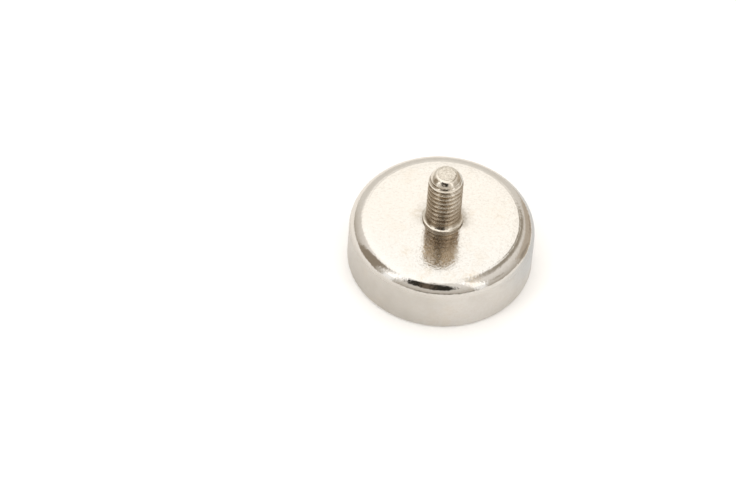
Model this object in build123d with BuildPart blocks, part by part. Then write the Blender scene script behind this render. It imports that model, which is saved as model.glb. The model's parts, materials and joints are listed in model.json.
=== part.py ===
"""Pot magnet: a steel cup with a potted disc magnet and a threaded stud.

Millimetres, +Z up. The origin is the centre of the contact face: the magnet
stands on the cup's rim at z = 0, and the stud points up.
"""
from build123d import *
import os

# ---- driving dimensions ----------------------------------------------------

# Cup
cup_diameter = 25.0
cup_height = 8.0
cup_wall = 1.8
cup_floor = 2.9
shoulder_radius = 2.25
rim_outer_radius = 0.65
rim_inner_chamfer = 0.3

# Magnet and the resin round it
resin_width = 1.45
magnet_recess = 0.1
magnet_edge_radius = 0.6
magnet_back_chamfer = 0.4

# Foot of the stud, swaged into the countersunk hole in the cup's floor
spigot_diameter = 4.0
countersink_diameter = 6.0
countersink_depth = 1.0

# Stud, whose collar beds a little way into the cup's back
thread_diameter = 4.75
stud_height = 9.0
collar_overhang = 0.35
collar_height = 0.36
collar_bedding = 0.05
collar_edge_chamfer = 0.18
neck_undercut = 0.27
neck_length = 0.55
neck_foot_chamfer = 0.2
dome_height = 1.95
dome_inset = 0.94
tip_edge_radius = 0.7

# ---- places worked out from them ---------------------------------------------

cup_radius = cup_diameter / 2
bore_radius = cup_radius - cup_wall
floor_z = cup_height - cup_floor

magnet_radius = bore_radius - resin_width
magnet_thickness = floor_z - magnet_recess
resin_z = magnet_recess + magnet_edge_radius

spigot_radius = spigot_diameter / 2
countersink_radius = countersink_diameter / 2
countersink_z = floor_z + countersink_depth

thread_radius = thread_diameter / 2
collar_radius = thread_radius + collar_overhang
seat_z = cup_height - collar_bedding
collar_z = cup_height + collar_height
neck_radius = thread_radius - neck_undercut
neck_z = collar_z + neck_length
thread_z = neck_z + neck_undercut
tip_z = cup_height + stud_height
dome_z = tip_z - dome_height
tip_radius = thread_radius - dome_inset


def corner(section, radius, z):
    """The corner of a section, drawn as radius and height, nearest a point."""
    return section.vertices().sort_by_distance((radius, z, 0))[0]


# ---- cup: closed at the top, open below, with a hole and a seat for the stud ----

with BuildPart() as cup:
    with BuildSketch(Plane.XZ) as cup_section:
        with BuildLine():
            Polyline(
                (collar_radius, cup_height),
                (cup_radius, cup_height),
                (cup_radius, 0),
                (bore_radius, 0),
                (bore_radius, floor_z),
                (countersink_radius, floor_z),
                (spigot_radius, countersink_z),
                (spigot_radius, seat_z),
                (collar_radius, seat_z),
                close=True,
            )
        make_face()
        fillet(corner(cup_section, cup_radius, cup_height), shoulder_radius)
        fillet(corner(cup_section, cup_radius, 0), rim_outer_radius)
        chamfer(corner(cup_section, bore_radius, 0), rim_inner_chamfer)
    revolve(axis=Axis.Z)

# ---- magnet: a disc with a rounded front edge, its back on the cup's floor ------

with BuildPart() as magnet:
    with BuildSketch(Plane.XY.offset(magnet_recess)):
        Circle(magnet_radius)
    extrude(amount=magnet_thickness)
    rims = magnet.edges().filter_by(GeomType.CIRCLE).sort_by(Axis.Z)
    fillet(rims[0], magnet_edge_radius)
    chamfer(rims[-1], magnet_back_chamfer)

# ---- resin ring: fills the gap up to the foot of the magnet's rounded edge ------

with BuildPart() as resin_ring:
    with BuildSketch(Plane.XY.offset(resin_z)):
        Circle(bore_radius)
        Circle(magnet_radius, mode=Mode.SUBTRACT)
    extrude(amount=floor_z - resin_z)

# ---- stud: swaged foot, spigot, collar, undercut neck, thread and domed tip -----

with BuildPart() as stud:
    with BuildSketch(Plane.XZ) as stud_section:
        with BuildLine():
            Polyline(
                (0, tip_z),
                (0, floor_z),
                (countersink_radius, floor_z),
                (spigot_radius, countersink_z),
                (spigot_radius, seat_z),
                (collar_radius, seat_z),
                (collar_radius, collar_z),
                (neck_radius, collar_z),
                (neck_radius, neck_z),
                (thread_radius, thread_z),
                (thread_radius, dome_z),
            )
            TangentArc((thread_radius, dome_z), (tip_radius, tip_z), tangent=(0, 1))
            Line((tip_radius, tip_z), (0, tip_z))
        make_face()
        fillet(corner(stud_section, tip_radius, tip_z), tip_edge_radius)
        chamfer(corner(stud_section, collar_radius, collar_z), collar_edge_chamfer)
        chamfer(corner(stud_section, neck_radius, collar_z), neck_foot_chamfer)
    revolve(axis=Axis.Z)

# ---- one STEP file per piece ---------------------------------------------------

pieces = {"cup": cup, "magnet": magnet, "resin_ring": resin_ring, "stud": stud}

os.makedirs("parts", exist_ok=True)
for name, piece in pieces.items():
    piece.part.label = name
    export_step(piece.part, f"parts/{name}.step")
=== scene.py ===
import json
import math

import bmesh
import bpy
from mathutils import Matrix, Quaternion, Vector


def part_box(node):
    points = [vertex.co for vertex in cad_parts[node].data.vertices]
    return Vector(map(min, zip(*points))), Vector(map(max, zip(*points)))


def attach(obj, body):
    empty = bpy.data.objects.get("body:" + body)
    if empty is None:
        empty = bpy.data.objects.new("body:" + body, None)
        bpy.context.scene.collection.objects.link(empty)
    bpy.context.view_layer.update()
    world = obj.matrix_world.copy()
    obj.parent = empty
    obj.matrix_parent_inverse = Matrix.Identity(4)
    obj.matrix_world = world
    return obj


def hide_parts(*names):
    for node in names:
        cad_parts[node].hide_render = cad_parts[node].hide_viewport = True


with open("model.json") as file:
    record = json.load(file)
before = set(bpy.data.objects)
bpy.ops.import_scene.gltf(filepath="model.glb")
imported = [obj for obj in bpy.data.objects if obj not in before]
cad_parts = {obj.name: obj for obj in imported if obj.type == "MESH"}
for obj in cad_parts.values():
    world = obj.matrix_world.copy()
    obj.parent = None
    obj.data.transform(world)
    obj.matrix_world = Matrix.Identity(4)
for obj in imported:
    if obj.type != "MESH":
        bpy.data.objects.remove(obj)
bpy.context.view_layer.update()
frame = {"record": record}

# The pot magnet's four dressed pieces, their materials, and a small studio round them.
# Metres, +Z up. The camera stands toward -Y, so +X is the picture's right.

MM = 0.001

# ---- sizes read from the frame ---------------------------------------------------

cup_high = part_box("cup")[1]
magnet_low, magnet_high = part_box("magnet")
resin_low, resin_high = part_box("resin_ring")
stud_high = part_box("stud")[1]
stud_mount = next(m for m in frame["record"]["mounts"] if m["name"] == "stud")

CUP_RADIUS = cup_high.x
BACK_Z = cup_high.z
MAGNET_RADIUS = magnet_high.x
FACE_Z = magnet_low.z
FLOOR_Z = magnet_high.z
BORE_RADIUS = resin_high.x
RESIN_Z = resin_low.z
FOOT_RADIUS = stud_high.x
TIP_Z = stud_high.z
CREST_RADIUS = stud_mount["dims"]["r_mm"] * MM

# ---- sizes that the frame doesn't hold -------------------------------------------

# cup, magnet and resin
SHOULDER_RADIUS = 2.25 * MM
RIM_OUTER_RADIUS = 0.65 * MM
RIM_INNER_RADIUS = 0.3 * MM
CORNER_RADIUS = 0.05 * MM
SEAT_CORNER_RADIUS = 0.02 * MM
MAGNET_EDGE_RADIUS = 0.6 * MM
MAGNET_BACK_RADIUS = 0.4 * MM
RESIN_DIP = 0.1 * MM

BACK_RADIUS = CUP_RADIUS - SHOULDER_RADIUS
SHOULDER_Z = BACK_Z - SHOULDER_RADIUS
FACE_RADIUS = MAGNET_RADIUS - MAGNET_EDGE_RADIUS

# stud, from its foot up to its neck
SPIGOT_RADIUS = 2.0 * MM
COUNTERSINK_DEPTH = 1.0 * MM
COLLAR_RADIUS = CREST_RADIUS + 0.35 * MM
COLLAR_Z = BACK_Z + 0.36 * MM
COLLAR_SEAT_Z = BACK_Z - 0.05 * MM
COLLAR_EDGE_RADIUS = 0.05 * MM
COLLAR_LIP = 0.22 * MM
COLLAR_LIP_RISE = 0.08 * MM
COLLAR_CONE_RADIUS = 0.5 * MM
COLLAR_CONE_HEIGHT = 0.47 * MM
NECK_RADIUS = CREST_RADIUS - 0.27 * MM
NECK_Z = COLLAR_Z + 0.55 * MM
NECK_FOOT_RADIUS = 0.1 * MM

# dome: a long arc that starts upright at DOME_Z, a rounded edge, and a flat end
DOME_Z = TIP_Z - 1.95 * MM
DOME_INSET = 0.94 * MM
TIP_EDGE_RADIUS = 0.7 * MM

DOME_RADIUS = (DOME_INSET ** 2 + (TIP_Z - DOME_Z) ** 2) / (2 * DOME_INSET)
EDGE_Z = TIP_Z - TIP_EDGE_RADIUS
EDGE_SLOPE = math.asin((EDGE_Z - DOME_Z) / (DOME_RADIUS - TIP_EDGE_RADIUS))
END_RADIUS = CREST_RADIUS - DOME_RADIUS + (DOME_RADIUS - TIP_EDGE_RADIUS) * math.cos(EDGE_SLOPE)

# thread: M5 with blunt crests, full depth from RUN_IN_Z up to where its root runs out in the dome
THREAD_Z = NECK_Z + 0.27 * MM
THREAD_PITCH = 0.8 * MM
THREAD_DEPTH = 0.39 * MM
THREAD_ROUNDING = 0.06 * MM
CREST_HALF_WIDTH = 0.095 * MM
FLANK_SLOPE = math.tan(math.radians(60))

RUN_IN_Z = THREAD_Z + 0.75 * THREAD_PITCH
THREAD_END_SLOPE = math.acos(1 - (THREAD_DEPTH + THREAD_ROUNDING) / DOME_RADIUS)
THREAD_END_Z = DOME_Z + DOME_RADIUS * math.sin(THREAD_END_SLOPE)

# fineness of the meshes
AROUND = 192
ARC_STEPS = 14
DIP_STEPS = 16
ROWS_PER_TURN = 20
DOME_STEPS = 24
GUARD = 0.02 * MM
MERGE_DISTANCE = 0.0002 * MM


# ---- profiles and meshes ---------------------------------------------------------

def rounded(corners):
    """Points of an outline through (radius, z, rounding) corners.

    A guard point on each side of a bend keeps its smooth shading off the flat beside it.
    """
    points = [Vector(corners[0][:2])]
    for before, here, after in zip(corners, corners[1:], corners[2:]):
        corner, rounding = Vector(here[:2]), here[2]
        a = (Vector(before[:2]) - corner).normalized()
        b = (Vector(after[:2]) - corner).normalized()
        half = a.angle(b) / 2
        reach = rounding / math.tan(half)
        centre = corner + (a + b).normalized() * (rounding / math.sin(half))
        start, end = corner + a * reach - centre, corner + b * reach - centre
        turn = start.angle_signed(end)
        points.append(corner + a * (reach + GUARD))
        for i in range(ARC_STEPS + 1):
            angle = -turn * i / ARC_STEPS
            spun = Vector((start.x * math.cos(angle) - start.y * math.sin(angle),
                           start.x * math.sin(angle) + start.y * math.cos(angle)))
            points.append(centre + spun)
        points.append(corner + b * (reach + GUARD))
    points.append(Vector(corners[-1][:2]))
    return points


def ring(radius, z):
    """One row of a turned surface: the same radius and height all the way round, with no groove."""
    return [(radius, z, 0.0)] * (AROUND + 1)


def rings(points):
    """The rows of a turned surface, from the (radius, z) points of its outline."""
    return [ring(point[0], point[1]) for point in points]


def new_object(name, mesh):
    """An object in the scene, made from a bmesh, which is freed."""
    data = bpy.data.meshes.new(name)
    mesh.to_mesh(data)
    mesh.free()
    item = bpy.data.objects.new(name, data)
    bpy.context.scene.collection.objects.link(item)
    return item


def turned(name, rows):
    """A piece from rows of (radius, z, groove), each AROUND + 1 long and starting over +X."""
    mesh = bmesh.new()
    groove_layer = mesh.verts.layers.float.new("groove")
    grid = []
    for row in rows:
        line = []
        for k, (radius, z, groove) in enumerate(row):
            angle = 2 * math.pi * k / AROUND
            vertex = mesh.verts.new((radius * math.cos(angle), radius * math.sin(angle), z))
            vertex[groove_layer] = groove
            line.append(vertex)
        grid.append(line)
    for low, high in zip(grid, grid[1:]):
        for k in range(AROUND):
            mesh.faces.new((low[k], low[k + 1], high[k + 1], high[k]))
    bmesh.ops.remove_doubles(mesh, verts=mesh.verts, dist=MERGE_DISTANCE)
    bmesh.ops.recalc_face_normals(mesh, faces=mesh.faces)
    for face in mesh.faces:
        face.smooth = True
    return new_object(name, mesh)


def make_cup():
    return turned("cup_body", rings(rounded([
        (COLLAR_RADIUS, COLLAR_SEAT_Z, 0),
        (COLLAR_RADIUS, BACK_Z, SEAT_CORNER_RADIUS),
        (CUP_RADIUS, BACK_Z, SHOULDER_RADIUS),
        (CUP_RADIUS, 0, RIM_OUTER_RADIUS),
        (BORE_RADIUS, 0, RIM_INNER_RADIUS),
        (BORE_RADIUS, FLOOR_Z, CORNER_RADIUS),
        (FOOT_RADIUS, FLOOR_Z, CORNER_RADIUS),
        (SPIGOT_RADIUS, FLOOR_Z + COUNTERSINK_DEPTH, CORNER_RADIUS),
        (SPIGOT_RADIUS, COLLAR_SEAT_Z, SEAT_CORNER_RADIUS),
        (COLLAR_RADIUS, COLLAR_SEAT_Z, 0),
    ])))


def make_magnet():
    return turned("magnet_disc", rings(rounded([
        (0, FACE_Z, 0),
        (MAGNET_RADIUS, FACE_Z, MAGNET_EDGE_RADIUS),
        (MAGNET_RADIUS, FLOOR_Z, MAGNET_BACK_RADIUS),
        (0, FLOOR_Z, 0),
    ])))


def make_resin():
    """The potting, whose open face dips between the magnet and the cup."""
    outline = []
    for i in range(DIP_STEPS + 1):
        share = i / DIP_STEPS
        radius = MAGNET_RADIUS + (BORE_RADIUS - MAGNET_RADIUS) * share
        outline.append((radius, RESIN_Z + RESIN_DIP * math.sin(math.pi * share)))
    outline += [(BORE_RADIUS, FLOOR_Z), (MAGNET_RADIUS, FLOOR_Z), (MAGNET_RADIUS, RESIN_Z)]
    return turned("potting_ring", rings(outline))


def dome_point(slope):
    """Radius and height of the dome where its surface has turned by slope from upright."""
    if slope < EDGE_SLOPE:
        return CREST_RADIUS - DOME_RADIUS * (1 - math.cos(slope)), DOME_Z + DOME_RADIUS * math.sin(slope)
    return END_RADIUS + TIP_EDGE_RADIUS * math.cos(slope), EDGE_Z + TIP_EDGE_RADIUS * math.sin(slope)


def dome_radius(z):
    """Radius of the stud without its thread, up to where the thread ends in the dome."""
    return dome_point(math.asin(max(z - DOME_Z, 0) / DOME_RADIUS))[0]


def soft_min(a, b, blend):
    """The lower of two values, rounded off where they are within blend of each other."""
    h = max(blend - abs(a - b), 0) / blend
    return min(a, b) - h * h * blend / 4


def smooth_step(low, high, value):
    """How far a value is from low to high, eased at both ends."""
    t = min(max((value - low) / (high - low), 0), 1)
    return t * t * (3 - 2 * t)


def thread_point(z, angle):
    """Radius and height of the right-hand thread at an angle, and how deep its groove is there."""
    turn = (z / THREAD_PITCH - angle / (2 * math.pi)) % 1
    from_crest = abs((turn + 0.5) % 1 - 0.5) * THREAD_PITCH
    flank = (from_crest - CREST_HALF_WIDTH) * FLANK_SLOPE
    cut = soft_min(flank, THREAD_DEPTH, 2 * THREAD_ROUNDING)
    cut = -soft_min(-cut, 0, 2 * THREAD_ROUNDING)
    run_in = smooth_step(NECK_Z, RUN_IN_Z, z)
    neck = NECK_RADIUS + (CREST_RADIUS - NECK_RADIUS) * smooth_step(NECK_Z, THREAD_Z, z)
    blank = min(dome_radius(z), neck)
    radius = soft_min(blank, CREST_RADIUS - cut * run_in, THREAD_ROUNDING)
    return radius, z, (blank - radius) / THREAD_DEPTH


def make_stud():
    rows = rings(rounded([
        (0, FLOOR_Z, 0),
        (FOOT_RADIUS, FLOOR_Z, CORNER_RADIUS),
        (SPIGOT_RADIUS, FLOOR_Z + COUNTERSINK_DEPTH, CORNER_RADIUS),
        (SPIGOT_RADIUS, COLLAR_SEAT_Z, SEAT_CORNER_RADIUS),
        (COLLAR_RADIUS, COLLAR_SEAT_Z, SEAT_CORNER_RADIUS),
        (COLLAR_RADIUS, COLLAR_Z, COLLAR_EDGE_RADIUS),
        (COLLAR_RADIUS - COLLAR_LIP, COLLAR_Z + COLLAR_LIP_RISE, COLLAR_CONE_RADIUS),
        (NECK_RADIUS, COLLAR_Z + COLLAR_CONE_HEIGHT, NECK_FOOT_RADIUS),
        (NECK_RADIUS, NECK_Z, 0),
    ]))
    # the thread's rows climb with it, and are held level at both of its ends
    first = int(NECK_Z / THREAD_PITCH * ROWS_PER_TURN) - ROWS_PER_TURN
    last = int(THREAD_END_Z / THREAD_PITCH * ROWS_PER_TURN) + 2
    for j in range(first, last):
        row = []
        for k in range(AROUND + 1):
            z = (j + ROWS_PER_TURN * k / AROUND) * THREAD_PITCH / ROWS_PER_TURN
            z = min(max(z, NECK_Z), THREAD_END_Z)
            row.append(thread_point(z, 2 * math.pi * k / AROUND))
        rows.append(row)
    for i in range(DOME_STEPS + 1):
        slope = THREAD_END_SLOPE + (math.pi / 2 - THREAD_END_SLOPE) * i / DOME_STEPS
        rows.append(ring(*dome_point(slope)))
    rows += [ring(END_RADIUS - GUARD, TIP_Z), ring(0, TIP_Z)]
    return turned("threaded_stud", rows)


# ---- node trees ------------------------------------------------------------------

class Nodes:
    """The node tree of a material or of the world, with short ways to add linked nodes to it."""

    def __init__(self, owner, clear=False):
        owner.use_nodes = True
        self.tree = owner.node_tree
        if clear:
            self.tree.nodes.clear()

    def feed(self, socket, value):
        """Gives an input a value of its own, or links it to the output that makes its value."""
        if isinstance(value, bpy.types.NodeSocket):
            self.tree.links.new(value, socket)
        else:
            socket.default_value = value

    def add(self, kind, inputs=(), **settings):
        """Adds a node with its settings, feeds its inputs, and gives its outputs."""
        node = self.tree.nodes.new(kind)
        for key, value in settings.items():
            setattr(node, key, value)
        for socket, value in dict(inputs).items():
            self.feed(node.inputs[socket], value)
        return node.outputs

    def maths(self, operation, a, b=0.0):
        return self.add("ShaderNodeMath", {0: a, 1: b}, operation=operation)[0]

    def times(self, first, *others):
        for other in others:
            first = self.maths("MULTIPLY", first, other)
        return first

    def plus(self, first, *others):
        for other in others:
            first = self.maths("ADD", first, other)
        return first

    def ramp(self, value, low, high, to_low=0.0, to_high=1.0):
        """A value carried from low..high to to_low..to_high, smoothly and clamped."""
        return self.add("ShaderNodeMapRange", {"Value": value, "From Min": low, "From Max": high,
                                               "To Min": to_low, "To Max": to_high},
                        interpolation_type="SMOOTHSTEP")["Result"]

    def mix(self, factor, a, b):
        """Colour a where the factor is 0, and b where it is 1."""
        return self.add("ShaderNodeMix", {0: factor, 6: a, 7: b}, data_type="RGBA")[2]

    def mix_shaders(self, factor, a, b):
        return self.add("ShaderNodeMixShader", {0: factor, 1: a, 2: b})[0]

    def split(self, vector):
        return self.add("ShaderNodeSeparateXYZ", {0: vector}).values()


class Finish(Nodes):
    """A piece's material: its shader, where each point lies on the part, and noise to vary it by."""

    def __init__(self, name):
        self.material = bpy.data.materials.new(name)
        super().__init__(self.material)
        self.shader = self.tree.nodes["Principled BSDF"]
        self.where = self.add("ShaderNodeTexCoord")["Object"]
        self.x, self.y, self.height = self.split(self.where)
        self.from_axis = self.maths("SQRT", self.plus(self.maths("POWER", self.x, 2.0),
                                                      self.maths("POWER", self.y, 2.0)))

    def noise(self, size, detail, roughness):
        """Noise whose grains are about size metres across."""
        return self.add("ShaderNodeTexNoise", {"Vector": self.where, "Scale": 1 / size, "Detail": detail,
                                               "Roughness": roughness})["Fac"]

    def grains(self, size):
        """A random value for each grain, the grains being about size metres across."""
        cells = self.add("ShaderNodeTexVoronoi", {"Vector": self.where, "Scale": 1 / size})["Color"]
        return self.split(cells)[0]

    def dressed(self, colour, roughness, relief, depth):
        """The material with its colour, roughness and a bump, where a relief of 1 is depth metres high."""
        bump = self.add("ShaderNodeBump", {"Height": relief, "Strength": 1.0, "Distance": depth})
        self.feed(self.shader.inputs["Base Color"], colour)
        self.feed(self.shader.inputs["Roughness"], roughness)
        self.feed(self.shader.inputs["Normal"], bump["Normal"])
        return self.material


# ---- materials -------------------------------------------------------------------

# the cup
NICKEL = (0.735, 0.70, 0.65, 1)
NICKEL_WHITE = (0.73, 0.71, 0.68, 1)
NICKEL_SATIN = (0.555, 0.53, 0.49, 1)
NICKEL_PALE = (0.725, 0.705, 0.675, 1)
NICKEL_STAIN = (0.66, 0.575, 0.46, 1)
CUP_MOTTLE = (0.56, 0.50, 0.43, 1)
CUP_SPECK = (0.56, 0.49, 0.41, 1)
# painted shade and dirt round the stud's foot
FOOT_SHADE_AND_DIRT = (0.24, 0.205, 0.16, 1)
RIM_PALE = (0.84, 0.82, 0.78, 1)
RIM_DARK = (0.60, 0.565, 0.51, 1)

# the stud
NICKEL_WORN = (0.74, 0.69, 0.61, 1)
NICKEL_DUSKY = (0.63, 0.56, 0.465, 1)
# painted shade, on the shank and on the collar's side
SHANK_SHADE = (0.38, 0.305, 0.22, 1)
# painted shade on the thread's downward-facing flanks, low and high on the shank
SHADED_FLANK_LOW = (0.54, 0.42, 0.295, 1)
SHADED_FLANK_HIGH = (0.80, 0.655, 0.46, 1)
# dirt and painted shade in the thread's root and the neck
THREAD_GRIME_AND_SHADE = (0.25, 0.192, 0.128, 1)
TIP_MOTTLE = (0.50, 0.455, 0.39, 1)
TIP_LINE = (0.33, 0.29, 0.24, 1)

# the magnet and its potting
MAGNET_PALE = (0.80, 0.775, 0.735, 1)
MAGNET_DARK = (0.68, 0.65, 0.605, 1)
MAGNET_FLAKE = (0.97, 0.95, 0.92, 1)
RESIN_PALE = (0.33, 0.295, 0.245, 1)
RESIN_DARK = (0.235, 0.205, 0.16, 1)
RESIN_EDGE = (0.085, 0.07, 0.05, 1)

# stains on the cup's back and on the front of its shoulder: x and y of the middle and size, in
# millimetres, and strength
STAINS = [
    (-3.6, 0.8, 1.5, 0.5), (-4.7, -6.4, 1.3, 0.5), (-1.6, -9.6, 1.2, 0.5),
    (3.8, 1.4, 0.9, 0.5), (7.6, 1.2, 1.5, 0.3), (3.9, -5.0, 1.0, 0.3),
    (4.4, -10.1, 1.9, 0.9), (-2.4, -10.8, 0.9, 0.6), (1.4, -10.2, 1.6, 0.4),
]


def stains(f, mottle):
    """How stained the cup is: faint clouds all over it, and a ragged spot for each of STAINS."""
    stain = f.ramp(f.noise(3.5 * MM, 4, 0.6), 0.50, 0.72, 0.0, 0.25)
    ragged = f.ramp(mottle, 0.3, 0.65)
    for x, y, size, strength in STAINS:
        away = f.add("ShaderNodeVectorMath", {0: f.where, 1: (x * MM, y * MM, BACK_Z)},
                     operation="DISTANCE")["Value"]
        spot = f.times(f.ramp(away, 0.0, size * MM, strength, 0.0), ragged)
        stain = f.maths("MAXIMUM", stain, spot)
    return stain


def foot_shade_and_dirt(f, mottle):
    """Painted shade and dirt on the cup's back, round the back half of the stud's foot and widest at its
    right.
    """
    close = f.ramp(f.from_axis, COLLAR_RADIUS, COLLAR_RADIUS + 0.6 * MM, 0.9, 0.0)
    wide = f.ramp(f.from_axis, COLLAR_RADIUS, COLLAR_RADIUS + 2.0 * MM, 0.3, 0.0)
    right = f.times(f.ramp(f.from_axis, COLLAR_RADIUS + 0.1 * MM, COLLAR_RADIUS + 1.3 * MM, 0.75, 0.0),
                    f.ramp(f.x, 1.5 * MM, 2.6 * MM))
    shade_dirt_mask = f.maths("MAXIMUM", f.maths("MAXIMUM", close, right), wide)
    return f.times(shade_dirt_mask, f.ramp(f.y, -2.0 * MM, -0.6 * MM), f.ramp(mottle, 0.3, 0.6, 0.5, 1.0))


def cup_nickel():
    """Nickel with a bright, grainy back, a polished shoulder, a satin wall and a speckled rim."""
    f = Finish("cup_nickel")
    f.shader.inputs["Metallic"].default_value = 1.0
    on_back = f.ramp(f.from_axis, BACK_RADIUS - 0.35 * MM, BACK_RADIUS + 0.45 * MM, 1.0, 0.0)
    off_back = f.maths("SUBTRACT", 1.0, on_back)
    on_wall = f.ramp(f.height, SHOULDER_Z + 0.15 * MM, SHOULDER_Z + 1.05 * MM, 1.0, 0.0)
    mottle = f.noise(0.45 * MM, 4, 0.65)

    # the back is whiter toward its front, and the wall is paler in clouds and, as painted light, toward
    # its right
    colour = f.mix(f.ramp(f.y, -9.0 * MM, 2.0 * MM, 1.0, 0.0), NICKEL, NICKEL_WHITE)
    paler = f.plus(f.ramp(f.noise(4.5 * MM, 3, 0.55), 0.25, 0.75, 0.0, 0.4),
                   f.ramp(f.x, -8.0 * MM, 5.0 * MM, 0.0, 0.6))
    satin = f.mix(paler, NICKEL_SATIN, NICKEL_PALE)
    below = f.ramp(f.height, SHOULDER_Z + 0.45 * MM, SHOULDER_Z + 1.25 * MM, 1.0, 0.0)
    colour = f.mix(below, colour, satin)
    colour = f.mix(stains(f, mottle), colour, NICKEL_STAIN)
    # painted shade and dirt on the back, round the stud's foot
    colour = f.mix(foot_shade_and_dirt(f, mottle), colour, FOOT_SHADE_AND_DIRT)
    colour = f.mix(f.ramp(mottle, 0.35, 0.7, 0.0, 0.14), colour, CUP_MOTTLE)
    specks = f.noise(0.16 * MM, 2, 0.6)
    colour = f.mix(f.ramp(specks, 0.5, 0.75, 0.0, 0.22), colour, CUP_SPECK)
    on_rim = f.ramp(f.height, 0.12 * MM, 0.35 * MM, 1.0, 0.0)
    speckled = f.mix(f.grains(0.12 * MM), RIM_DARK, RIM_PALE)
    colour = f.mix(f.times(on_rim, 0.8), colour, speckled)

    # the shoulder is the smoothest, the wall the dullest, and some of the back's grains are duller
    dull_grains = f.ramp(f.grains(0.2 * MM), 0.4, 0.9, 0.0, 0.115)
    rough = f.plus(f.times(on_back, dull_grains), f.times(on_wall, 0.24),
                   f.ramp(mottle, 0.3, 0.7, 0.065, 0.13))

    # waves that are deepest on the wall, fine grain, and a back that rolls off toward the shoulder
    waves = f.plus(f.noise(0.36 * MM, 3, 0.6), f.times(f.noise(1.1 * MM, 2, 0.5), 1.6))
    swell = f.plus(f.times(on_back, -0.75),
                   f.ramp(f.height, SHOULDER_Z + 0.45 * MM, SHOULDER_Z + 1.45 * MM, 1.5, 0.95))
    back_grain = f.times(f.noise(0.3 * MM, 2, 0.55), on_back)
    shoulder_grain = f.times(f.noise(0.34 * MM, 1, 0.5),
                             f.ramp(f.height, SHOULDER_Z + 0.85 * MM, SHOULDER_Z + 1.65 * MM, 0.0, 0.8),
                             off_back)
    toward_edge = f.add("ShaderNodeMapRange", {"Value": f.from_axis, "From Min": BACK_RADIUS - 1.95 * MM,
                                               "From Max": BACK_RADIUS + 0.2 * MM})["Result"]
    roll_off = f.times(f.maths("POWER", toward_edge, 3.0), -4.5)
    relief = f.plus(f.times(waves, swell), back_grain, shoulder_grain, roll_off)
    return f.dressed(colour, rough, relief, depth=0.012 * MM)


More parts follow.
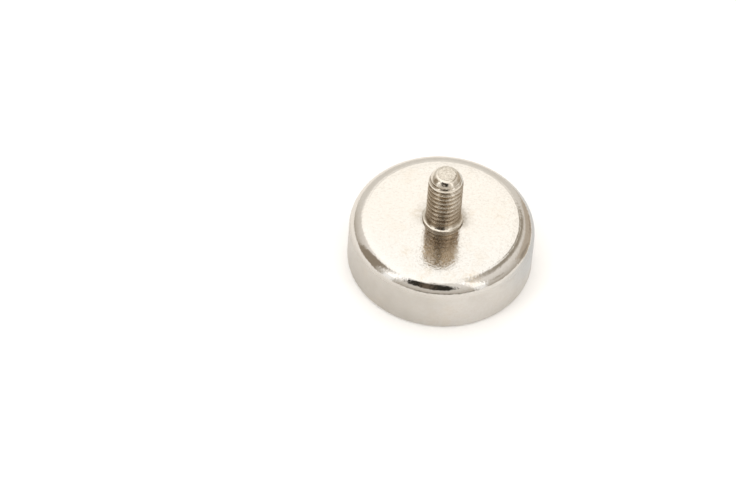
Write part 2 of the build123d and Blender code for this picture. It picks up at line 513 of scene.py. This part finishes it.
def stud_nickel():
    """Nickel with a polished dome, a duller shank that is browner partly by painted shade, dirt and
    painted shade in the thread, and a matt end.
    """
    f = Finish("stud_nickel")
    f.shader.inputs["Metallic"].default_value = 1.0
    groove = f.add("ShaderNodeAttribute", attribute_name="groove")["Fac"]
    facing_up = f.split(f.add("ShaderNodeNewGeometry")["Normal"])[2]
    smudge = f.noise(0.5 * MM, 4, 0.65)
    shank = f.times(f.ramp(f.height, DOME_Z - 0.3 * MM, DOME_Z + 0.4 * MM, 1.0, 0.0),
                    f.ramp(f.height, COLLAR_Z + 0.1 * MM, COLLAR_Z + 0.45 * MM))

    # the shank is duskier in streaks; painted shade darkens it toward its foot, and a painted reflection
    # of the second magnet darkens it toward its left
    colour = f.mix(f.ramp(smudge, 0.4, 0.7, 0.0, 0.35), NICKEL_WORN, NICKEL_STAIN)
    streaks = f.ramp(f.noise(0.9 * MM, 3, 0.6), 0.35, 0.65, 0.15, 0.7)
    colour = f.mix(f.times(shank, streaks), colour, NICKEL_DUSKY)
    low_left_shade = f.maths("MAXIMUM", f.ramp(f.height, COLLAR_Z + 1.2 * MM, COLLAR_Z + 5.0 * MM, 0.75, 0.0),
                   f.ramp(f.x, -1.8 * MM, 0.2 * MM, 0.65, 0.0))
    colour = f.mix(f.times(low_left_shade, shank), colour, SHANK_SHADE)

    # painted shade: the thread's downward-facing flanks are brown, and lighter further up
    up_shank = f.ramp(f.height, BACK_Z + 2.3 * MM, BACK_Z + 5.8 * MM)
    shaded_lower_flank = f.times(f.ramp(facing_up, -0.3, 0.15, 1.0, 0.0), shank)
    colour = f.mix(shaded_lower_flank, colour, f.mix(up_shank, SHADED_FLANK_LOW, SHADED_FLANK_HIGH))
    # painted shade on the side of the collar
    collar_side = f.times(f.ramp(f.height, COLLAR_Z - 0.08 * MM, COLLAR_Z, 1.0, 0.0),
                          f.ramp(facing_up, 0.2, 0.6, 1.0, 0.0))
    colour = f.mix(f.times(collar_side, 0.6), colour, SHANK_SHADE)

    # dirt and painted shade sit in the thread's root, less so on the lower flanks further up, and in the
    # neck, more of both at the left
    flecks = f.times(f.maths("SUBTRACT", f.noise(0.24 * MM, 3, 0.65), 0.5), 0.9)
    in_root = f.times(f.ramp(f.plus(groove, flecks), 0.04, 0.42), f.ramp(smudge, 0.3, 0.65, 0.6, 1.0),
                      f.ramp(f.x, -0.6 * MM, 1.4 * MM, 1.0, 0.78),
                      f.maths("SUBTRACT", 1.0, f.times(shaded_lower_flank, up_shank, 0.6)))
    in_neck = f.times(f.ramp(f.from_axis, NECK_RADIUS + 0.15 * MM, NECK_RADIUS + 0.42 * MM, 1.0, 0.0),
                      f.ramp(f.height, NECK_Z + 0.1 * MM, THREAD_Z + 0.4 * MM, 1.0, 0.0),
                      f.ramp(f.x, -1.1 * MM, 0.3 * MM, 1.0, 0.25))
    dirt_and_shade = f.maths("MAXIMUM", in_root, in_neck)
    colour = f.mix(dirt_and_shade, colour, THREAD_GRIME_AND_SHADE)

    # the flat end is mottled, with a dark line round it
    on_end = f.times(f.ramp(f.from_axis, END_RADIUS - 0.12 * MM, END_RADIUS - 0.02 * MM, 1.0, 0.0),
                     f.ramp(f.height, TIP_Z - 0.06 * MM, TIP_Z - 0.03 * MM))
    patches = f.ramp(f.noise(0.38 * MM, 4, 0.6), 0.36, 0.66, 0.0, 0.8)
    colour = f.mix(f.times(on_end, patches), colour, TIP_MOTTLE)
    from_line = f.maths("ABSOLUTE", f.maths("SUBTRACT", f.from_axis, END_RADIUS))
    line = f.times(f.ramp(from_line, 0.03 * MM, 0.10 * MM, 1.0, 0.0),
                   f.ramp(f.height, TIP_Z - 0.3 * MM, TIP_Z - 0.2 * MM))
    colour = f.mix(f.times(line, f.ramp(smudge, 0.35, 0.6, 0.2, 0.8)), colour, TIP_LINE)

    rough = f.plus(f.ramp(smudge, 0.3, 0.7, 0.09, 0.17), f.times(shank, 0.08), f.times(dirt_and_shade, 0.12),
                   f.times(on_end, 0.14), f.times(collar_side, 0.4))
    chatter = f.times(f.noise(0.22 * MM, 3, 0.6), f.plus(shank, 1.0))
    relief = f.plus(chatter, f.times(f.noise(0.7 * MM, 2, 0.5), 2.4))
    return f.dressed(colour, rough, relief, depth=0.018 * MM)


def magnet_nickel():
    """Nickel with a sandy, matt face that bright flakes show in, and a polished edge round it."""
    f = Finish("magnet_nickel")
    f.shader.inputs["Metallic"].default_value = 1.0
    face = f.ramp(f.from_axis, FACE_RADIUS - 0.12 * MM, FACE_RADIUS + 0.22 * MM, 1.0, 0.0)
    clouds = f.noise(3.0 * MM, 3, 0.6)
    flakes = f.times(f.ramp(f.grains(0.13 * MM), 0.80, 0.92), f.ramp(clouds, 0.3, 0.6, 0.35, 1.0))
    colour = f.mix(f.ramp(f.grains(0.10 * MM), 0.0, 1.0), MAGNET_PALE, MAGNET_DARK)
    colour = f.mix(f.ramp(clouds, 0.45, 0.7, 0.0, 0.35), colour, MAGNET_DARK)
    colour = f.mix(f.times(flakes, 0.85), colour, MAGNET_FLAKE)
    colour = f.mix(face, NICKEL, colour)
    matt = f.maths("SUBTRACT", 0.32, f.times(flakes, 0.20))
    rough = f.plus(f.times(face, matt), 0.10)
    relief = f.times(f.noise(0.3 * MM, 2, 0.5), face)
    return f.dressed(colour, rough, relief, depth=0.006 * MM)


def potting_resin():
    """Cloudy, gritty grey-brown resin, darkest where it meets the magnet."""
    f = Finish("potting_resin")
    f.shader.inputs["Specular IOR Level"].default_value = 0.35
    cloud = f.noise(1.6 * MM, 4, 0.6)
    grit = f.noise(0.2 * MM, 3, 0.6)
    colour = f.mix(f.ramp(cloud, 0.3, 0.7), RESIN_DARK, RESIN_PALE)
    colour = f.mix(f.ramp(grit, 0.55, 0.75, 0.0, 0.25), colour, RESIN_EDGE)
    inner = f.ramp(f.from_axis, MAGNET_RADIUS + 0.05 * MM, MAGNET_RADIUS + 0.30 * MM, 0.85, 0.0)
    outer = f.ramp(f.from_axis, BORE_RADIUS - 0.18 * MM, BORE_RADIUS, 0.0, 0.6)
    colour = f.mix(f.maths("MAXIMUM", inner, outer), colour, RESIN_EDGE)
    rough = f.ramp(cloud, 0.3, 0.7, 0.5, 0.72)
    relief = f.plus(cloud, f.times(grit, 0.3))
    return f.dressed(colour, rough, relief, depth=0.04 * MM)


# ---- the part --------------------------------------------------------------------

def dress(piece, node, material):
    piece.data.materials.append(material)
    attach(piece, "root")
    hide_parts(node)


dress(make_cup(), "cup", cup_nickel())
dress(make_magnet(), "magnet", magnet_nickel())
dress(make_resin(), "resin_ring", potting_resin())
dress(make_stud(), "stud", stud_nickel())


# ---- studio: floor, world, lamps and reflection cards ----------------------------

WHITE = (1, 1, 1, 1)

FLOOR_SIZE = 6.0
FLOOR_HOLE = CUP_RADIUS - 0.4 * MM
FLOOR_STEPS = 96
FLOOR_COLOUR = (0.90, 0.90, 0.90, 1)
FLOOR_LIFT = 0.14  # what the camera sees on top of the lit floor

SKY_LOW = (0.50, 0.455, 0.39, 1)
SKY_HIGH = (0.96, 0.915, 0.86, 1)
SKY_HIGH_FROM = 0.75  # sine of the elevation above which the sky is SKY_HIGH

LAMP_COLOUR = (1.0, 0.985, 0.96)


def direction(azimuth, elevation):
    """Unit vector to a place on the sky, where azimuth 0 is behind the part, 90 right and 180 in front."""
    a, e = math.radians(azimuth), math.radians(elevation)
    return Vector((math.sin(a) * math.cos(e), math.cos(a) * math.cos(e), math.sin(e)))


def make_floor():
    """A plain floor, open under the part and clear from below, so that the contact face can be seen."""
    mesh = bmesh.new()
    ways = [direction(90 - 360 * k / FLOOR_STEPS, 0) for k in range(FLOOR_STEPS)]
    inner = [mesh.verts.new(way * FLOOR_HOLE) for way in ways]
    outer = [mesh.verts.new(way * FLOOR_SIZE) for way in ways]
    for k in range(FLOOR_STEPS):
        after = (k + 1) % FLOOR_STEPS
        mesh.faces.new((inner[k], outer[k], outer[after], inner[after]))
    floor = new_object("floor", mesh)

    material = bpy.data.materials.new("floor")
    n = Nodes(material, clear=True)
    matt = n.add("ShaderNodeBsdfDiffuse", {"Color": FLOOR_COLOUR})[0]
    lift = n.times(n.add("ShaderNodeLightPath")["Is Camera Ray"], FLOOR_LIFT)
    glow = n.add("ShaderNodeEmission", {"Color": WHITE, "Strength": lift})[0]
    lifted = n.add("ShaderNodeAddShader", {0: matt, 1: glow})[0]
    clear = n.add("ShaderNodeBsdfTransparent")[0]
    from_below = n.add("ShaderNodeNewGeometry")["Backfacing"]
    n.add("ShaderNodeOutputMaterial", {"Surface": n.mix_shaders(from_below, lifted, clear)})
    floor.data.materials.append(material)


def make_world():
    """White to the camera, and to all else a pale room that gets brighter away from the horizon."""
    world = bpy.data.worlds.new("studio")
    bpy.context.scene.world = world
    n = Nodes(world, clear=True)
    height = n.split(n.add("ShaderNodeTexCoord")["Generated"])[2]
    climb = n.add("ShaderNodeMapRange", {"Value": n.maths("ABSOLUTE", height),
                                         "From Max": SKY_HIGH_FROM})["Result"]
    light = n.add("ShaderNodeBackground", {"Color": n.mix(climb, SKY_LOW, SKY_HIGH)})[0]
    seen = n.add("ShaderNodeBackground", {"Color": WHITE})[0]
    to_camera = n.add("ShaderNodeLightPath")["Is Camera Ray"]
    n.add("ShaderNodeOutputWorld", {"Surface": n.mix_shaders(to_camera, light, seen)})


def softbox(name, centre, size, brightness, aim=(0, 0, 0)):
    """A rectangular area lamp for matt surfaces and shadows, which reflections don't see."""
    lamp = bpy.data.lights.new(name, "AREA")
    lamp.shape = "RECTANGLE"
    lamp.size, lamp.size_y = size
    lamp.energy = brightness * math.pi * size[0] * size[1]
    lamp.color = LAMP_COLOUR
    item = bpy.data.objects.new(name, lamp)
    bpy.context.scene.collection.objects.link(item)
    item.location = centre
    item.rotation_mode = "QUATERNION"
    item.rotation_quaternion = (Vector(centre) - Vector(aim)).to_track_quat("Z", "Y")
    item.visible_glossy = False


def card(name, upper, lower, colour, soft):
    """A glowing card that only reflections see, between two lines of points in space.

    soft is the share of the card over which its left, right, upper and lower edges fade.
    """
    mesh = bmesh.new()
    uv_layer = mesh.loops.layers.uv.new("across")
    tops, feet = ([mesh.verts.new(point) for point in line] for line in (upper, lower))
    last = len(upper) - 1
    for k in range(last):
        face = mesh.faces.new((tops[k], tops[k + 1], feet[k + 1], feet[k]))
        for loop, (u, v) in zip(face.loops, ((k, 1), (k + 1, 1), (k + 1, 0), (k, 0))):
            loop[uv_layer].uv = (u / last, v)
    item = new_object(name, mesh)

    material = bpy.data.materials.new(name)
    n = Nodes(material, clear=True)
    u, v = n.split(n.add("ShaderNodeUVMap")[0])[:2]
    left, right, top, bottom = soft
    cover = n.times(n.ramp(u, 0, left), n.ramp(u, 1, 1 - right),
                    n.ramp(v, 1, 1 - top), n.ramp(v, 0, bottom))
    clear = n.add("ShaderNodeBsdfTransparent")[0]
    glow = n.add("ShaderNodeEmission", {"Color": (*colour, 1)})[0]
    n.add("ShaderNodeOutputMaterial", {"Surface": n.mix_shaders(cover, clear, glow)})
    item.data.materials.append(material)
    item.visible_camera = False
    item.visible_diffuse = False
    item.visible_shadow = False


def sky_card(name, distance, upper, lower, colour, soft):
    """A card on the sky, between two lines of (azimuth, elevation). It hides the cards farther away."""
    card(name, [direction(*place) * distance for place in upper],
         [direction(*place) * distance for place in lower], colour, soft)


make_floor()
make_world()
softbox("lamp_over", (-0.14, 0.30, 0.90), (0.8, 1.4), 0.9, aim=(-0.14, 0.30, 0))
softbox("lamp_left", direction(234, 32) * 1.1, (0.30, 1.2), 2.0)
softbox("lamp_right", direction(131, 32) * 1.1, (0.20, 1.2), 2.0)

# overhead and behind: the light that the cup's flat back mirrors, brighter toward its left
CEILING = 0.9
KEY_HEIGHT = 0.88
card("panel_over", [(-0.75, 2.4, CEILING), (0.05, 2.4, CEILING), (0.2, 2.4, CEILING)],
     [(-0.70, -0.25, CEILING), (-0.05, -0.30, CEILING), (0.26, -0.22, CEILING)],
     (1.42, 1.395, 1.345), (0.12, 0.06, 0.55, 0.04))
card("panel_key", [(-0.46, 0.8, KEY_HEIGHT), (-0.08, 0.8, KEY_HEIGHT)],
     [(-0.46, -0.28, KEY_HEIGHT), (-0.06, -0.32, KEY_HEIGHT)],
     (1.48, 1.46, 1.42), (0.1, 0.1, 0.3, 0.04))

# left and right of the camera: the white patches on the front of the shoulder
STRIP = (1.55, 1.535, 1.51)
STRIP_LOW = (1.14, 1.13, 1.11)
STRIP_SOFT = (0.08, 0.08, 0.06, 0.2)
STRIP_LOW_SOFT = (0.08, 0.08, 0.06, 0.05)
sky_card("strip_left", 0.6, [(221, 65), (243, 62)], [(226.5, 16), (243, 16)], STRIP, STRIP_SOFT)
sky_card("strip_left_low", 0.605, [(226, 30), (243, 30)], [(229, -2), (243, -2)],
         STRIP_LOW, STRIP_LOW_SOFT)
sky_card("strip_right", 0.6, [(120, 74), (142, 74)], [(125, 18), (141, 18)], STRIP, STRIP_SOFT)
sky_card("strip_right_low", 0.605, [(125, 30), (140, 30)], [(128, -2), (138, -2)],
         STRIP_LOW, STRIP_LOW_SOFT)

# round the camera: the dark patch between them, and the line where the shoulder meets the wall
DARK = (0.03, 0.026, 0.02)
DARK_SOFT = (0.1, 0.1, 0.1, 0.08)
sky_card("dark_left", 0.58, [(228, 61), (200, 68)], [(217, 30), (198, 27)], DARK, DARK_SOFT)
sky_card("dark_middle", 0.59, [(206, 67), (185, 70)], [(203, 28), (184, 26)],
         (0.15, 0.115, 0.085), (0.05, 0.05, 0.12, 0.08))
sky_card("dark_right", 0.58, [(190, 69), (172, 66), (156, 46)], [(188, 25), (172, 25), (157, 31)],
         DARK, DARK_SOFT)
sky_card("horizon_line", 0.6, [(218, 5), (180, 8), (133, 5)], [(218, -1), (180, 0), (133, -1)],
         (0.24, 0.215, 0.175), (0.1, 0.1, 0.35, 0.35))

# behind: the grey of the rear edge, and the dark line along the inner edge of the shoulder
sky_card("pale_back", 0.6, [(-60, 46.6), (-30, 46.6), (0, 46.6), (34, 46.6)],
         [(-60, -3), (-30, -3), (0, -3), (34, -3)], (0.85, 0.825, 0.78), (0.3, 0.12, 0.33, 0.02))
sky_card("gap", 0.55, [(8, 80), (23, 66), (17, 59), (11, 55), (9, 50), (10, 44)],
         [(145, 63), (104, 54), (68, 52), (53, 45), (41, 37), (31, 30)],
         (0.38, 0.335, 0.27), (0.3, 0.12, 0.25, 0.45))

# right: the brown and grey in that side of the shoulder
sky_card("brown_back", 0.5, [(84, 33), (66, 38), (48, 36), (30, 28)],
         [(88, -2), (66, -2), (48, -2), (28, -2)], (0.58, 0.51, 0.43), (0.12, 0.1, 0.25, 0.02))
sky_card("brown_spots", 0.49, [(84, 26), (62, 26)], [(84, 0), (62, 0)],
         (0.40, 0.35, 0.285), (0.25, 0.25, 0.35, 0.1))
sky_card("brown_foot", 0.48, [(56, 8), (38, 5)], [(56, -2), (38, -2)],
         (0.38, 0.33, 0.26), (0.25, 0.25, 0.4, 0.02))
sky_card("low_right", 0.57, [(126, 9), (103, 7)], [(126, -2), (103, -2)],
         (0.50, 0.455, 0.39), (0.1, 0.2, 0.3, 0.1))
sky_card("mid_right", 0.57, [(120, 33), (101, 32)], [(118, 20), (101, 20)],
         (0.50, 0.45, 0.385), (0.25, 0.25, 0.3, 0.3))

# left: a plain stand-in for the second magnet
sky_card("neighbour", 0.5, [(247, 58), (284, 48)], [(249, -2), (284, -2)],
         (0.34, 0.285, 0.22), (0.1, 0.2, 0.15, 0.02))

# on the floor at the right: a brown board, and the cool ground between it and the part
BOARD_LEFT = 40 * MM
BOARD_HEIGHT = 1.0 * MM
GROUND_LEFT = 12.7 * MM
GROUND_HEIGHT = 0.6 * MM
card("board", [(BOARD_LEFT, 0.5, BOARD_HEIGHT), (0.5, 0.5, BOARD_HEIGHT)],
     [(BOARD_LEFT, 0.0, BOARD_HEIGHT), (0.5, 0.02, BOARD_HEIGHT)],
     (0.53, 0.46, 0.375), (0.02, 0.01, 0.01, 0.02))
card("cool_ground", [(GROUND_LEFT, 0.06, GROUND_HEIGHT), (BOARD_LEFT, 0.06, GROUND_HEIGHT)],
     [(GROUND_LEFT, -0.02, GROUND_HEIGHT), (BOARD_LEFT, -0.02, GROUND_HEIGHT)],
     (0.80, 0.81, 0.81), (0.02, 0.3, 0.3, 0.3))

# below the floor: what the rounded edges of magnet and rim mirror, seen from underneath
BELOW = (1.5, 1.48, 1.45)
BELOW_SOFT = (0.1, 0.1, 0.1, 0.1)
sky_card("below_left", 0.6, [(222, -4), (244, -4)], [(222, -75), (244, -75)], BELOW, BELOW_SOFT)
sky_card("below_right", 0.6, [(118, -4), (136, -4)], [(118, -75), (136, -75)], BELOW, BELOW_SOFT)
sky_card("below_dark", 0.6, [(204, -20), (156, -20)], [(204, -60), (156, -60)],
         (0.10, 0.085, 0.065), (0.15, 0.15, 0.15, 0.15))

# ---- camera: a long lens that looks down with a slight roll, as the photographer's did ----

CAMERA_AIM = Vector((-9.77, 1.58, 0)) * MM
CAMERA_ELEVATION = 48.94
CAMERA_DISTANCE = 745.0 * MM
CAMERA_ROLL = 4.19
CAMERA_LENS = 269.0
CAMERA_SENSOR = 36.0
CAMERA_CLIP_START = 0.05
CAMERA_CLIP_END = 20.0


def make_camera():
    camera = bpy.data.objects.new("camera", bpy.data.cameras.new("camera"))
    bpy.context.scene.collection.objects.link(camera)
    camera.data.lens = CAMERA_LENS
    camera.data.sensor_width = CAMERA_SENSOR
    camera.data.clip_start = CAMERA_CLIP_START
    camera.data.clip_end = CAMERA_CLIP_END
    back = direction(180, CAMERA_ELEVATION)
    camera.location = CAMERA_AIM + back * CAMERA_DISTANCE
    camera.rotation_mode = "QUATERNION"
    camera.rotation_quaternion = ((-back).to_track_quat("-Z", "Y")
                                  @ Quaternion((0, 0, 1), math.radians(CAMERA_ROLL)))
    bpy.context.scene.camera = camera


make_camera()
bpy.context.scene.view_settings.view_transform = "Standard"
